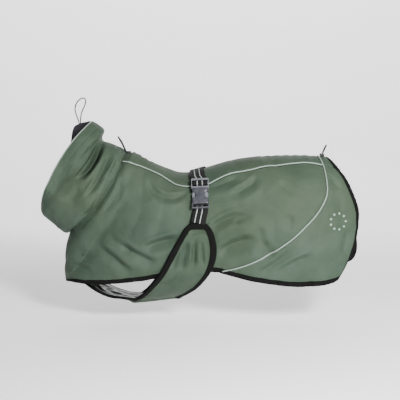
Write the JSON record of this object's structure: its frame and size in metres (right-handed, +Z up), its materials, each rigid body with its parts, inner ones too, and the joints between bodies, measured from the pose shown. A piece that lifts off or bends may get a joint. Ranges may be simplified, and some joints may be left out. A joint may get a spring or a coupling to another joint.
{
  "type": "dog winter coat",
  "caption": "Waterproof dog coat with a tall turned-up collar, a reflective piped back, drawcord loops, a belly band closed by a side-release buckle and rear leg straps.",
  "frame": {"origin": "inner face of the coat's back, on the spine below the belt, where it lies on the wearer's back", "axes": "+X towards the tail, the buckle is on the -Y side, +Z up"},
  "size_m": [0.5198, 0.1733, 0.3382],
  "materials": {
    "shell": "grey-green coated woven polyester with a slight sheen",
    "lining_dark": "charcoal ribbed lining",
    "lining_silver": "silver-grey heat lining with a sheen",
    "piping": "pale reflective piping",
    "binding": "matt black woven edge binding",
    "webbing": "black webbing with two pale reflective lines",
    "plastic": "satin grey moulded plastic",
    "lock": "matt black moulded plastic",
    "cord": "dark grey elastic cord"
  },
  "bodies": {
    "root": {"side_panel_near": "shell", "side_panel_far": "shell", "spine_panel": "shell", "rump_panel_near": "shell", "rump_panel_far": "shell", "collar": "shell", "belly_band": "shell", "chest_strap": "shell", "collar_lining": "lining_dark", "chest_strap_lining": "lining_silver", "collar_piping": "piping", "rump_piping": "piping", "spine_piping_near": "piping", "spine_piping_far": "piping", "hem_binding_near": "binding", "hem_binding_far": "binding", "rear_binding": "binding", "band_binding": "binding", "strap_binding_near": "binding", "strap_binding_far": "binding", "leg_strap_near": "binding", "leg_strap_far": "binding", "webbing_upper": "webbing", "webbing_lower": "webbing", "buckle_female": "plastic", "buckle_male": "plastic", "neck_cord_lock": "lock", "rump_cord_lock": "lock", "collar_cord": "cord", "neck_cord": "cord", "rump_cord": "cord"}
  },
  "joints": []
}
